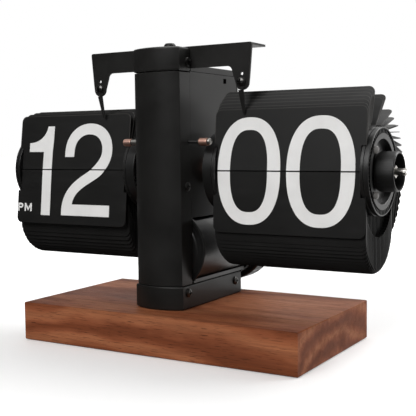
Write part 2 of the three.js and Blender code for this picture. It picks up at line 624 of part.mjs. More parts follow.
// A leaf's outline across X, standing up from its hinge line at height 0, with a notch at each
// side where the end discs' rims come through.
function leafOutline(side, cornerSegments, root, notch) {
  const { near, notchNear, length } = LEAF;
  const [far, notchFar] = [LEAF.far, LEAF.notchFar].map((x) => x - farTrim(side));
  const r = LEAF_CORNER;
  const points = [[notchNear, root], [notchFar, root], [notchFar, notch], [far, notch]];
  const corner = (x, z, start) => {
    for (let i = 0; i <= cornerSegments; i += 1) {
      const angle = start + (i / cornerSegments) * (Math.PI / 2);
      points.push([x + r * Math.cos(angle), z + r * Math.sin(angle)]);
    }
  };
  corner(far - r, length - r, 0);
  corner(near + r, length - r, Math.PI / 2);
  points.push([near, notch], [notchNear, notch]);
  return polygon(side > 0 ? points : points.map(([x, z]) => [-x, z]).reverse());
}

const leafBody = (side, [front, back], cornerSegments, root = LEAF_ROOT, notch = LEAF.notch) =>
  slabY(leafOutline(side, cornerSegments, root, notch), [front, back], 1);

// The angle a leaf takes, in degrees from the front, when its pivot stands at another such angle.
function leafAngle({ lean, stack, stackLean, stop, bunches, count }, place) {
  if (place <= stack) return 90 + lean + stackLean * place;
  const bunch = bunches.find(([last]) => place <= last);
  if (bunch) return bunch[1] - BUNCH_STEP * (bunch[0] - place);
  return Math.min(270, (360 / count) * place + stop);
}

// All leaves behind the two on show, joined to a thin sleeve at their roots.
function addLeafPack(word, kind) {
  const { side, count, notch } = kind;
  const span = [side * SLEEVE.near, side * (SLEEVE.far - farTrim(side))].sort((a, b) => a - b);
  const half = LEAF.thick / 2;
  let pack = pipe("x", span, SLEEVE.outer, SLEEVE.inner, [0, 0], 40);
  for (let place = 1; place < count - 1; place += 1) {
    const pivot = radians((360 / count) * place);
    const angle = leafAngle(kind, place);
    const turn = 90 - angle;
    const leaf = leafBody(side, [-half, half], 1, PACK_ROOT, notch)
      .rotate([turn, 0, 0])
      .translate([0, -PIVOT_RADIUS * Math.cos(pivot), PIVOT_RADIUS * Math.sin(pivot)]);
    pack = pack.add(leaf);
  }
  piece(drums, `${word}_leaf_pack`, pack, LEAF_PLASTIC);
}

// The upper and the lower leaf on show. The upper one falls forward about the hinge line.
function addShownLeaves(word, { side, lean, tuck }) {
  const behind = 0.1;
  const body = leafBody(side, [behind, behind + LEAF.thick], 5);
  const upper = piece(drums, `${word}_top_leaf`, body, LEAF_PLASTIC);
  upper.position.set(0, HINGE.front, HINGE.rise);
  upper.rotation.x = radians(-lean);
  const lower = piece(drums, `${word}_bottom_leaf`, body.mirror([0, 0, 1]), LEAF_PLASTIC);
  lower.position.set(0, HINGE.front, HINGE.rise);
  lower.rotation.x = radians(-tuck);
}

// ---------------------------------------------------------------- the clock

addBase();
addFoot();
addTray();
addColumn();
addSideScrews();
addBracket();
addTopButton();
addFinger("minute", 1);
addFinger("hour", -1);
addHousing();
addBattery();
addTrain();
addAxle();
for (const [word, kind] of [["minute", MINUTE_LEAVES], ["hour", HOUR_LEAVES]]) {
  addLeafStop(word, kind.side);
  addDrum(word, kind.side);
  addLeafPack(word, kind);
  addShownLeaves(word, kind);
}

export default root;
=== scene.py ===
import json
import math
import random

import bmesh
import bpy
from mathutils import Matrix, Vector

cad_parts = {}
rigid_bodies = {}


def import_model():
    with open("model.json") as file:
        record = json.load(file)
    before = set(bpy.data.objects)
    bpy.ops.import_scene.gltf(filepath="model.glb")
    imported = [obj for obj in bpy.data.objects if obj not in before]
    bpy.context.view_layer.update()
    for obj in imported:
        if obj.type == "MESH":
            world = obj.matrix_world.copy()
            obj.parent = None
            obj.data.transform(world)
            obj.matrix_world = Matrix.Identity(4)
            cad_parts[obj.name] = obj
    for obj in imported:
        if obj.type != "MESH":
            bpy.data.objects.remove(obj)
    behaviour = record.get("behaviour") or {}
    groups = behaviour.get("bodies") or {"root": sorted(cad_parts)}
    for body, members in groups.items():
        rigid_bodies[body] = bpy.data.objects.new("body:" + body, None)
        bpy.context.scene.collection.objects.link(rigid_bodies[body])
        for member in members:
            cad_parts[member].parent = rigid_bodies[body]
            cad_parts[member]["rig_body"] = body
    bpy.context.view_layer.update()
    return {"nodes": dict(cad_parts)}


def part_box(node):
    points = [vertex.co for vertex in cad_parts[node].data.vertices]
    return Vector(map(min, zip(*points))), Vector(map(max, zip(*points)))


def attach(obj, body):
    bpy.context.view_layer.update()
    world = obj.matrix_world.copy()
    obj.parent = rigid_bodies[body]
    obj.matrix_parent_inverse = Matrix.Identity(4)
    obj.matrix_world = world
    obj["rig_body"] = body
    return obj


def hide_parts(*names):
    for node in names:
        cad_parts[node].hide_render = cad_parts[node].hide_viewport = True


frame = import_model()
NODES = frame["nodes"]
MM = 0.001


def middle(node):
    low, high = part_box(node)
    return (low + high) / 2 / MM


def span_of(node, axis):
    low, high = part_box(node)
    return low[axis] / MM, high[axis] / MM


# All lengths below are in millimetres. CX is the clock's middle across X, (AY, AZ) the drum axle.
CX = middle("column_shell").x
AY, AZ = middle("main_axle").y, middle("main_axle").z


# ------------------------------------------------------------------ node materials

class Nodes:
    """A small helper that wires one material's shader nodes."""

    def __init__(self, name):
        self.material = bpy.data.materials.new(name)
        self.material.use_nodes = True
        self.tree = self.material.node_tree
        self.shader = self.tree.nodes["Principled BSDF"]
        self.place = self.add("ShaderNodeTexCoord").outputs["Object"]

    def add(self, kind, **settings):
        node = self.tree.nodes.new(kind)
        for key, value in settings.items():
            setattr(node, key, value)
        return node

    def link(self, source, target):
        self.tree.links.new(source, target)

    def set(self, name, value):
        if isinstance(value, bpy.types.NodeSocket):
            self.link(value, self.shader.inputs[name])
        else:
            self.shader.inputs[name].default_value = value

    def mapped(self, scale, move=(0, 0, 0), turn=(0, 0, 0)):
        node = self.add("ShaderNodeMapping")
        node.inputs["Scale"].default_value = scale
        node.inputs["Location"].default_value = move
        node.inputs["Rotation"].default_value = turn
        self.link(self.place, node.inputs["Vector"])
        return node.outputs["Vector"]

    def noise(self, scale, detail=3.0, rough=0.55, warp=0.0, stretch=(1, 1, 1)):
        node = self.add("ShaderNodeTexNoise")
        self.link(self.mapped(stretch), node.inputs["Vector"])
        node.inputs["Scale"].default_value = scale
        node.inputs["Detail"].default_value = detail
        node.inputs["Roughness"].default_value = rough
        node.inputs["Distortion"].default_value = warp
        return node.outputs["Fac"]

    def ramp(self, source, stops, smooth=False):
        node = self.add("ShaderNodeValToRGB")
        node.color_ramp.interpolation = "EASE" if smooth else "LINEAR"
        elements = node.color_ramp.elements
        while len(elements) < len(stops):
            elements.new(0.5)
        for element, (at, colour) in zip(elements, stops):
            element.position = at
            element.color = (*colour, 1) if len(colour) == 3 else colour
        self.link(source, node.inputs["Fac"])
        return node.outputs["Color"]

    def span(self, source, low, high, start=0.0, end=1.0):
        node = self.add("ShaderNodeMapRange")
        for name, value in (("From Min", start), ("From Max", end), ("To Min", low), ("To Max", high)):
            node.inputs[name].default_value = value
        self.link(source, node.inputs["Value"])
        return node.outputs["Result"]

    def mix(self, share, a, b, blend="MIX"):
        node = self.add("ShaderNodeMix", data_type="RGBA", blend_type=blend)
        for index, value in ((0, share), (6, a), (7, b)):
            if isinstance(value, bpy.types.NodeSocket):
                self.link(value, node.inputs[index])
            elif index == 0:
                node.inputs[0].default_value = value
            else:
                node.inputs[index].default_value = (*value, 1)
        return node.outputs[2]

    def math(self, operation, a, b=0.0):
        node = self.add("ShaderNodeMath", operation=operation)
        for index, value in ((0, a), (1, b)):
            if isinstance(value, bpy.types.NodeSocket):
                self.link(value, node.inputs[index])
            else:
                node.inputs[index].default_value = value
        return node.outputs[0]

    def bump(self, source, strength, depth=0.00005, under=None):
        node = self.add("ShaderNodeBump")
        node.inputs["Strength"].default_value = strength
        node.inputs["Distance"].default_value = depth
        self.link(source, node.inputs["Height"])
        if under is not None:
            self.link(under, node.inputs["Normal"])
        return node.outputs["Normal"]

    def edges(self, width):
        """1 along worn outer edges, 0 on flat ground."""
        bevel = self.add("ShaderNodeBevel", samples=4)
        bevel.inputs["Radius"].default_value = width
        plain = self.add("ShaderNodeNewGeometry")
        dot = self.add("ShaderNodeVectorMath", operation="DOT_PRODUCT")
        self.link(bevel.outputs["Normal"], dot.inputs[0])
        self.link(plain.outputs["Normal"], dot.inputs[1])
        return self.span(dot.outputs["Value"], 1.0, 0.0, 0.8, 0.995)


def black_coat(name, tone, rough, grain, worn, gloss=0.5, edge_tone=(0.07, 0.067, 0.063)):
    """Black paint or moulded plastic: a fine grain, cloudy roughness and lighter worn edges."""
    n = Nodes(name)
    cloud = n.noise(45, 4, 0.6)
    speck = n.noise(2600, 2, 0.5)
    light = tuple(channel * 1.5 for channel in tone)
    ground = n.mix(n.span(cloud, 0, 1, 0.35, 0.7), tone, light)
    dusty = n.mix(n.span(n.noise(420, 5, 0.7), 0, 0.3, 0.6, 0.8), ground, tuple(channel * 2.4 for channel in tone))
    edge = n.math("MULTIPLY", n.edges(0.00035), n.span(n.noise(300, 3), 0.1, worn, 0.4, 0.65))
    n.set("Base Color", n.mix(edge, dusty, edge_tone))
    n.set("Roughness", n.math("ADD", n.span(cloud, rough - 0.05, rough + 0.07, 0.3, 0.7), n.span(speck, -0.04, 0.04)))
    n.set("Specular IOR Level", gloss)
    n.set("Normal", n.bump(speck, grain, 0.00003))
    return n.material


def metal(name, tone, rough, brushed=(1, 1, 1), tarnish=(0.6, 0.6, 0.6)):
    n = Nodes(name)
    lines = n.noise(900, 4, 0.6, 0, brushed)
    patch = n.noise(160, 4, 0.6)
    dull = tuple(a * b for a, b in zip(tone, tarnish))
    n.set("Base Color", n.mix(n.span(patch, 0, 0.7, 0.4, 0.75), tone, dull))
    n.set("Metallic", 1.0)
    n.set("Roughness", n.math("ADD", n.span(patch, rough - 0.06, rough + 0.12, 0.3, 0.7), n.span(lines, -0.05, 0.05)))
    n.set("Normal", n.bump(lines, 0.25, 0.00002))
    return n.material


def moulded(name, tone, other, rough, grain=0.2):
    n = Nodes(name)
    cloud = n.noise(120, 4, 0.6)
    n.set("Base Color", n.mix(n.span(cloud, 0, 1, 0.35, 0.7), tone, other))
    n.set("Roughness", n.span(n.noise(500, 3), rough - 0.07, rough + 0.1, 0.3, 0.7))
    n.set("Normal", n.bump(n.noise(2200, 2), grain, 0.00002))
    return n.material


def leaf_sheet(name, tone):
    """Thin matt plastic sheet with faint rub marks across it."""
    n = Nodes(name)
    cloud = n.noise(28, 4, 0.6)
    rub = n.noise(260, 4, 0.65, 0, (0.25, 1, 1))
    ground = n.mix(n.span(cloud, 0, 1, 0.3, 0.7), tuple(0.75 * c for c in tone), tone)
    n.set("Base Color", n.mix(n.span(rub, 0, 0.35, 0.58, 0.8), ground, tuple(2.2 * c for c in tone)))
    n.set("Roughness", n.math("ADD", n.span(cloud, 0.44, 0.5, 0.3, 0.7), n.span(rub, -0.04, 0.05, 0.3, 0.7)))
    n.set("Specular IOR Level", 0.42)
    n.set("Normal", n.bump(n.noise(2400, 2), 0.12, 0.00002))
    return n.material


def print_ink():
    """Opaque white ink: slightly uneven, with pinholes that barely show."""
    n = Nodes("white_print")
    cloud = n.noise(90, 4, 0.6)
    pin = n.noise(1500, 3, 0.6)
    ground = n.mix(n.span(cloud, 0, 1, 0.3, 0.7), (0.69, 0.685, 0.675), (0.75, 0.745, 0.735))
    n.set("Base Color", n.mix(n.span(pin, 0, 0.5, 0.7, 0.8), ground, (0.5, 0.49, 0.48)))
    n.set("Roughness", n.span(cloud, 0.5, 0.62, 0.3, 0.7))
    n.set("Normal", n.bump(pin, 0.15, 0.00002))
    return n.material


def wood():
    """Oiled dark hardwood, grain along X: growth rings about a far centre, fibres and open pores."""
    n = Nodes("wood")
    warp = n.add("ShaderNodeTexNoise")
    n.link(n.mapped((9, 26, 26)), warp.inputs["Vector"])
    warp.inputs["Scale"].default_value = 1.0
    warp.inputs["Detail"].default_value = 4.0
    shift = n.add("ShaderNodeVectorMath", operation="SCALE")
    n.link(warp.outputs["Color"], shift.inputs[0])
    shift.inputs["Scale"].default_value = 0.034
    moved = n.add("ShaderNodeVectorMath", operation="ADD")
    n.link(n.mapped((0.16, 1, 1), (0, -0.018, 0.052), (0.0, 0.0, 0.03)), moved.inputs[0])
    n.link(shift.outputs[0], moved.inputs[1])
    rings = n.add("ShaderNodeTexWave", wave_type="RINGS", rings_direction="X")
    n.link(moved.outputs[0], rings.inputs["Vector"])
    for key, value in (("Scale", 26.0), ("Distortion", 4.0), ("Detail", 3.0), ("Detail Scale", 1.6), ("Detail Roughness", 0.6)):
        rings.inputs[key].default_value = value
    fibre = n.noise(1.0, 5, 0.65, 0.4, (35, 1500, 1500))
    streak = n.noise(1.0, 4, 0.6, 0.8, (7, 150, 150))
    pore = n.noise(1.0, 2, 0.5, 0.0, (150, 3200, 3200))
    broad = n.noise(1.0, 3, 0.55, 0.8, (9, 26, 26))
    ground = n.ramp(rings.outputs["Fac"], [
        (0.0, (0.185, 0.050, 0.0180)), (0.4, (0.255, 0.074, 0.0290)), (0.75, (0.320, 0.104, 0.0430)), (1.0, (0.370, 0.134, 0.0590)),
    ], smooth=True)
    shaded = n.mix(n.span(streak, 0, 0.45, 0.42, 0.7), ground, (0.095, 0.0265, 0.0110))
    wide = n.mix(n.span(broad, 0.5, 0.0, 0.28, 0.46), shaded, (0.100, 0.0280, 0.0115))
    lined = n.mix(n.span(fibre, 0.0, 0.45, 0.42, 0.75), wide, (0.105, 0.034, 0.0155))
    hole = n.span(pore, 0, 1, 0.6, 0.68)
    n.set("Base Color", n.mix(n.math("MULTIPLY", hole, 0.65), lined, (0.024, 0.009, 0.005)))
    n.set("Roughness", n.math("ADD", n.span(streak, 0.52, 0.66, 0.3, 0.7), n.math("MULTIPLY", hole, 0.2)))
    n.set("Specular IOR Level", 0.12)
    relief = n.bump(fibre, 0.22, 0.00008)
    n.set("Normal", n.bump(n.math("SUBTRACT", 1.0, hole), 0.35, 0.0001, relief))
    return n.material


MATERIALS = {
    "wood": wood(),
    "satin_black": black_coat("satin_black", (0.0088, 0.0085, 0.0080), 0.38, 0.28, 0.35, 0.30),
    "black_plastic": black_coat("black_plastic", (0.0050, 0.0049, 0.0047), 0.36, 0.2, 0.4, 0.6),
    "leaf_plastic": leaf_sheet("leaf_plastic", (0.0060, 0.0057, 0.0053)),
    # A lighter leaf plastic for the upper edge strips of the leaves: a painted highlight where the edges catch the
    # light from above.
    "leaf_edge_highlight": leaf_sheet("leaf_edge_highlight", (0.034, 0.032, 0.029)),
    "steel": metal("steel", (0.66, 0.64, 0.6), 0.27, (1, 8, 8)),
    "copper": metal("copper", (0.78, 0.50, 0.41), 0.46, (8, 1, 1), (0.75, 0.66, 0.6)),
    "nylon": moulded("nylon", (0.74, 0.71, 0.63), (0.66, 0.63, 0.55), 0.45),
    "cell_wrap": moulded("cell_wrap", (0.045, 0.05, 0.06), (0.06, 0.065, 0.075), 0.3),
    "board_green": moulded("board_green", (0.012, 0.09, 0.035), (0.02, 0.12, 0.05), 0.4),
    "white_print": print_ink(),
    "screw_black": metal("screw_black", (0.11, 0.108, 0.104), 0.33),
}


# ------------------------------------------------------------------ mesh helpers

def finish_mesh(name, bm, slot_name, body, replaced=(), sharp=38, material=None, weighted=True, rim=None):
    """Turns a bmesh in millimetres into a named, shaded piece that rides on a body."""
    bmesh.ops.recalc_face_normals(bm, faces=bm.faces)
    bmesh.ops.scale(bm, vec=(MM, MM, MM), verts=bm.verts)
    mesh = bpy.data.meshes.new(name)
    bm.to_mesh(mesh)
    bm.free()
    for polygon in mesh.polygons:
        polygon.use_smooth = True
    mesh.set_sharp_from_angle(angle=math.radians(sharp))
    piece = bpy.data.objects.new(name, mesh)
    bpy.context.scene.collection.objects.link(piece)
    mesh.materials.append(MATERIALS[material or slot_name])
    # The second material goes on rim faces: on the leaves it is a painted edge highlight.
    if rim:
        mesh.materials.append(MATERIALS[rim])
    if weighted:
        modifier = piece.modifiers.new("weighted", "WEIGHTED_NORMAL")
        modifier.keep_sharp = True
    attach(piece, body)
    if replaced:
        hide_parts(*replaced)
    return piece


def body_of(node):
    return NODES[node]["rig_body"]


def node_mesh(node):
    bm = bmesh.new()
    source = NODES[node].data
    verts = [bm.verts.new(v.co / MM) for v in source.vertices]
    for polygon in source.polygons:
        corners = [verts[i] for i in polygon.vertices]
        if len(set(corners)) > 2:
            try:
                bm.faces.new(corners)
            except ValueError:
                continue
    bmesh.ops.remove_doubles(bm, verts=bm.verts, dist=0.002)
    bmesh.ops.dissolve_limit(bm, angle_limit=math.radians(0.6), verts=bm.verts, edges=bm.edges)
    return bm


def bevel(bm, width, angle=40, segments=2):
    edges = [e for e in bm.edges if len(e.link_faces) == 2 and e.calc_face_angle() > math.radians(angle)]
    if edges and width:
        bmesh.ops.bevel(bm, geom=edges, offset=width, segments=segments, profile=0.5, affect="EDGES", clamp_overlap=True)


def dress(node, slot_name, width=0.2, name=None, sharp=38, material=None, segments=2):
    """The CAD node's own shape with eased edges and smooth shading."""
    bm = node_mesh(node)
    bevel(bm, width, segments=segments)
    return finish_mesh(name or node + "_part", bm, slot_name, body_of(node), [node], sharp, material)


def eased(points, radius, closed=True):
    """A 2D outline with each corner rounded off."""
    out = []
    count = len(points)
    for i, corner in enumerate(points):
        here = Vector(corner)
        if not closed and i in (0, count - 1):
            out.append(tuple(here))
            continue
        before, after = Vector(points[i - 1]), Vector(points[(i + 1) % count])
        a, b = before - here, after - here
        if a.length < 1e-6 or b.length < 1e-6 or abs(a.normalized().dot(b.normalized()) + 1) < 1e-3:
            out.append(tuple(here))
            continue
        p = here + a.normalized() * min(radius, a.length * 0.45)
        q = here + b.normalized() * min(radius, b.length * 0.45)
        out += [tuple(p), tuple(p * 0.25 + here * 0.5 + q * 0.25), tuple(q)]
    return out


AXES = {
    "x": lambda r, a, t: (a, r * math.cos(t), r * math.sin(t)),
    "y": lambda r, a, t: (r * math.sin(t), a, r * math.cos(t)),
    "z": lambda r, a, t: (r * math.cos(t), r * math.sin(t), a),
}


def turn(bm, axis, profile, centre=(0, 0, 0), segments=96, ease=0.0, closed=False, radius_at=None):
    """Adds a turned body. Profile points are (radius, along); an open profile starts and ends on the axis."""
    points = eased(profile, ease, closed) if ease else profile
    rows = []
    for radius, along in points:
        if radius < 1e-6:
            rows.append([bm.verts.new(Vector(AXES[axis](0, along, 0)) + Vector(centre))])
            continue
        row = []
        for i in range(segments):
            t = 2 * math.pi * i / segments
            r = radius_at(radius, along, t) if radius_at else radius
            row.append(bm.verts.new(Vector(AXES[axis](r, along, t)) + Vector(centre)))
        rows.append(row)
    pairs = list(zip(rows, rows[1:]))
    if closed:
        pairs.append((rows[-1], rows[0]))
    for a, b in pairs:
        for i in range(segments):
            j = (i + 1) % segments
            if len(a) == 1 and len(b) == 1:
                break
            if len(a) == 1:
                bm.faces.new((a[0], b[i], b[j]))
            elif len(b) == 1:
                bm.faces.new((a[i], a[j], b[0]))
            else:
                bm.faces.new((a[i], a[j], b[j], b[i]))


def prism(bm, outline, place, ends, rim=0, border=0.0, above=0.0):
    """Adds a closed prism: place(u, v, w) puts outline point (u, v) at depth w.

    A border is an edge strip on both faces. Above a height the strips and the sides take the rim material, a painted
    highlight where the upper edges catch the light from above.
    """
    low = [bm.verts.new(place(u, v, ends[0])) for u, v in outline]
    high = [bm.verts.new(place(u, v, ends[1])) for u, v in outline]
    flats = [bm.faces.new(low), bm.faces.new(list(reversed(high)))]
    for i in range(len(outline)):
        j = (i + 1) % len(outline)
        side = bm.faces.new((low[i], high[i], high[j], low[j]))
        side.material_index = rim if side.calc_center_median().z > above else 0
    if border:
        bmesh.ops.recalc_face_normals(bm, faces=flats)
        strips = bmesh.ops.inset_individual(bm, faces=flats, thickness=border, use_even_offset=True)
        for face in strips["faces"]:
            face.material_index = rim if face.calc_center_median().z > above else 0


# ------------------------------------------------------------------ screws

SCREW_RINGS = 12
SCREW_SIDES = 48


def cross_head(name, node, axis, sign, radius, rise, slot_name="steel", material="screw_black", seat=None):
    """A pan-head screw with a cross recess, its back sunk a little into the wall it holds."""
    centre = middle(node)
    low, high = span_of(node, axis)
    face = high if sign > 0 else low
    base = face - sign * rise if seat is None else seat
    arm, slot_half, deep = radius * 0.62, radius * 0.15, rise * 0.62
    bm = bmesh.new()
    spread = [k for k in range(3) if k != axis]

    def point(u, v, up):
        p = [0.0, 0.0, 0.0]
        p[spread[0]] = centre[spread[0]] + u
        p[spread[1]] = centre[spread[1]] + v
        p[axis] = base + sign * up
        return p

    def height(u, v):
        r = math.hypot(u, v) / radius
        dome = rise * (1 - 0.55 * r ** 2) if r < 0.999 else rise * 0.42
        for a, b in ((u, v), (v, u)):
            if abs(a) < slot_half and abs(b) < arm:
                return dome - deep
        return dome

    rows = [[bm.verts.new(point(0, 0, height(0, 0)))]]
    for k in range(1, SCREW_RINGS + 1):
        r = radius * (k / SCREW_RINGS)
        rows.append([
            bm.verts.new(point(r * math.cos(t), r * math.sin(t), height(r * math.cos(t), r * math.sin(t))))
            for t in [2 * math.pi * i / SCREW_SIDES for i in range(SCREW_SIDES)]
        ])
    foot = [bm.verts.new(point(v[0], v[1], 0)) for v in
            [(radius * math.cos(2 * math.pi * i / SCREW_SIDES), radius * math.sin(2 * math.pi * i / SCREW_SIDES)) for i in range(SCREW_SIDES)]]
    rows.append(foot)
    rows.append([bm.verts.new(point(0, 0, 0))])
    for a, b in zip(rows, rows[1:]):
        for i in range(SCREW_SIDES):
            j = (i + 1) % SCREW_SIDES
            if len(a) == 1:
                bm.faces.new((a[0], b[i], b[j]))
            elif len(b) == 1:
                bm.faces.new((a[i], a[j], b[0]))
            else:
                bm.faces.new((a[i], a[j], b[j], b[i]))
    return finish_mesh(name, bm, slot_name, body_of(node), [node], 50, material, weighted=False)


def add_screws():
    for side, sign in (("right", 1), ("left", -1)):
        for node in ("cap_screw", "column_screw", "foot_screw_front", "foot_screw_back"):
            cross_head(f"{node}_{side}_head", f"{node}_{side}", 0, sign, 2.1, 1.2)
    for word in ("minute", "hour"):
        cross_head(f"{word}_finger_screw_head", f"{word}_finger_screw", 1, -1, 2.0, 1.2)


# ------------------------------------------------------------------ stand

def add_top_button():
    """A small turned button pressed into the bracket's flange."""
    low, high = span_of("top_button", 2)
    seat = high - 2.35
    bm = bmesh.new()
    turn(bm, "z", [(0, low), (1.2, low), (1.2, seat), (2.85, seat), (2.85, high - 0.95), (2.1, high), (0, high)],
         (CX, middle("top_button").y, 0), 48, 0.3)
    finish_mesh("button", bm, "satin_black", "stand", ["top_button"])


def add_stand():
    dress("base_block", "wood", 0.0, "wood_base", 60)
    for node in ("base_screw_front", "base_screw_back"):
        dress(node, "steel", 0.25)
    dress("column_shell", "satin_black", 0.35, "column", 30, segments=3)
    dress("top_cap", "satin_black", 0.25, "column_cap", 30)
    dress("foot_shoe", "satin_black", 0.25, "foot", 30)
    dress("battery_tray", "black_plastic", 0.25, "tray")
    dress("leaf_bracket", "satin_black", 0.15, "bracket", 30)
    for word in ("minute", "hour"):
        dress(f"{word}_finger_clip", "satin_black", 0.1)
        dress(f"{word}_finger", "satin_black", 0.1, f"{word}_finger_strip")
    dress("movement_housing", "satin_black", 0.3, "housing", 30)
    dress("housing_rear_cover", "satin_black", 0.3, "rear_cover", 30)
    dress("housing_lid", "satin_black", 0.3, "lid", 30)
    dress("circuit_board", "board_green", 0.1)
    dress("motor", "steel", 0.4)
    dress("contact_plate", "steel", 0.1)


def add_stops():
    """Wire arms with copper sleeves and bright ends."""
    for word, sign in (("minute", 1), ("hour", -1)):
        wire, sleeve = f"{word}_stop_wire", f"{word}_stop_sleeve"
        at = (0, middle(wire).y, middle(wire).z)
        low, high = span_of(wire, 0)
        near, far = (low, high) if sign > 0 else (high, low)
        s_low, s_high = span_of(sleeve, 0)
        s_near, s_far = (s_low, s_high) if sign > 0 else (s_high, s_low)
        bm = bmesh.new()
        turn(bm, "x", [(0, near), (0.7, near), (0.7, far - sign * 0.3), (0, far)], at, 24, 0.15)
        finish_mesh(f"{word}_stop_arm", bm, "steel", f"{word}_stop", [wire], material="screw_black" if sign > 0 else "steel")
        bm = bmesh.new()
        turn(bm, "x", [(0.72, s_near), (1.8, s_near), (1.8, s_far), (0.72, s_far)], at, 40, 0.25, closed=True)
        finish_mesh(f"{word}_stop_roller", bm, "copper", f"{word}_stop", [sleeve])
        bm = bmesh.new()
        if sign > 0:
            turn(bm, "x", [(0.72, s_far + 0.05), (1.55, s_far + 0.05), (1.75, s_far + 1.0), (1.2, s_far + 1.9), (0, s_far + 1.9)] +
                 [(0, s_far + 0.9), (0.72, s_far + 0.9)], (0, at[1], at[2] + 0.0), 40, 0.15, closed=False)
        else:
            turn(bm, "x", [(0.72, s_near + 0.05), (1.5, s_near + 0.05), (1.5, near - 0.2), (0.72, near - 0.2)], at, 40, 0.2, closed=True)
        finish_mesh(f"{word}_stop_tip", bm, "steel", f"{word}_stop")


# ------------------------------------------------------------------ battery

def add_battery():
    z = middle("battery_tube").z
    at = (CX, 0, z)
    bm = bmesh.new()
    turn(bm, "y", [(0, -14.3), (14.4, -14.3), (15.0, -13.9), (17.6, -13.9), (18.1, -14.3), (19.4, -14.3), (19.4, -12.9),
                   (18.4, -12.9), (18.4, 41.5), (17.3, 41.5), (17.3, -13.0), (0, -13.0)], at, 128, 0.25)
    finish_mesh("battery_tube_shell", bm, "black_plastic", "stand", ["battery_tube"])
    bm = bmesh.new()
    turn(bm, "y", [(0, -11.9), (4.6, -11.9), (4.6, -9.8), (15.4, -9.8), (16.4, -8.8), (16.4, 48.4), (15.4, 49.4), (0, 49.4)], at, 64, 0.4)
    finish_mesh("cell", bm, "cell_wrap", "battery", ["battery_cell"])

    def ribbed(radius, along, t):
        if radius > 22.6 and 43.4 < along < 53.2:
            return radius - 0.45 + 0.45 * min(1.0, max(-1.0, 1.8 * math.cos(36 * t)))
        return radius

    bm = bmesh.new()
    turn(bm, "y", [(0, 52.9), (17.2, 52.9), (17.2, 42.1), (18.8, 42.1), (18.8, 37.6), (20.2, 37.6), (20.2, 42.1), (22.4, 42.1),
                   (23.2, 42.9), (23.2, 43.6), (23.2, 53.0), (23.2, 53.3), (22.0, 54.5), (8, 54.5), (7.4, 54.0), (0, 54.0)],
         at, 288, 0.2, radius_at=ribbed)
    finish_mesh("battery_cap_shell", bm, "black_plastic", body_of("battery_cap"), ["battery_cap"], 30)

    coils, wide, narrow, wire = 3, 8.0, 4.5, 0.45
    steps, sides = 108, 10
    bm = bmesh.new()
    rows = []
    for i in range(steps + 1):
        share = i / steps
        a = share * coils * 2 * math.pi
        r = wide + (narrow - wide) * share
        along = 52.1 + (50.2 - 52.1) * share
        out = Vector((math.cos(a), 0, math.sin(a)))
        centre = Vector((CX, along, z)) + out * r
        rows.append([bm.verts.new(centre + (out * math.cos(t) + Vector((0, 1, 0)) * math.sin(t)) * wire)
                     for t in [2 * math.pi * k / sides for k in range(sides)]])
    for a, b in zip(rows, rows[1:]):
        for k in range(sides):
            m = (k + 1) % sides
            bm.faces.new((a[k], a[m], b[m], b[k]))
    bm.faces.new(rows[0])
    bm.faces.new(rows[-1])
    finish_mesh("battery_spring_coil", bm, "steel", body_of("battery_spring"), ["battery_spring"])


# ------------------------------------------------------------------ drums

TEETH = 60
DRUM_AT = (CX, AY, AZ)
DISC_R = 19.6
BAND = (16.9, 18.95)


def drum_disc(name, node, side, face, outer, bore, posts=False, inner=False):
    """A cup-shaped end disc: a flat ring, a deep slotted band with one rib to each leaf, and a rim."""
    away = 1 if outer > face else -1
    web = face + away * 0.8
    floor = face + away * 0.7
    bm = bmesh.new()
    profile = [(bore, face), (DISC_R - 0.1, face), (DISC_R, face + away * 0.15), (DISC_R, face + away * 1.35),
               (DISC_R - 0.5, face + away * 1.45), (DISC_R - 0.5, face + away * 1.75), (DISC_R, face + away * 1.85),
               (DISC_R, outer - away * 0.2), (DISC_R - 0.15, outer),
               (BAND[1], outer), (BAND[1], floor), (BAND[0], floor), (BAND[0], outer),
               (14.6, outer), (14.4, outer - away * 0.2), (14.4, web), (bore + 2.2, web), (bore + 2.2, web + away * 0.7), (bore, web + away * 0.7)]
    turn(bm, "x", [(r, x * side) for r, x in profile], DRUM_AT, 120, 0.08, closed=True)
    half = 0.24
    for i in range(TEETH):
        t = 2 * math.pi * (i + 0.5) / TEETH
        c, s = math.cos(t), math.sin(t)

        def place(u, v, w, c=c, s=s):
            return (CX + side * v, AY + u * c - w * s, AZ + u * s + w * c)

        low, high = floor - away * 0.2, outer - away * 0.45
        rib = [(BAND[0] - 0.1, low), (BAND[1] + 0.1, low), (BAND[1] + 0.1, high), (BAND[0] - 0.1, high)]
        prism(bm, rib, place, (-half, half))
        if inner:
            tooth = [(DISC_R - 0.3, face + away * 0.05), (DISC_R + 0.15, face + away * 0.05),
                     (DISC_R + 0.15, face + away * 0.9), (DISC_R - 0.3, face + away * 0.9)]
            prism(bm, tooth, place, (-0.5, 0.5))
    piece = finish_mesh(name, bm, "black_plastic", body_of(node), [node], 35)
    if posts:
        for z in (9.8, -9.8):
            bm = bmesh.new()
            turn(bm, "x", [(0, web - 0.3), (1.6, web - 0.3), (1.6, outer + 1.1), (1.2, outer + 1.6), (0, outer + 1.7)],
                 (CX, AY - 11.3, AZ + z), 40, 0.15)
            # The posts' light grey is a painted highlight on black plastic.
            finish_mesh(f"{name}_post_{'top' if z > 0 else 'bottom'}", bm, "black_plastic", body_of(node), material="post_plastic_painted_highlight")
    return piece


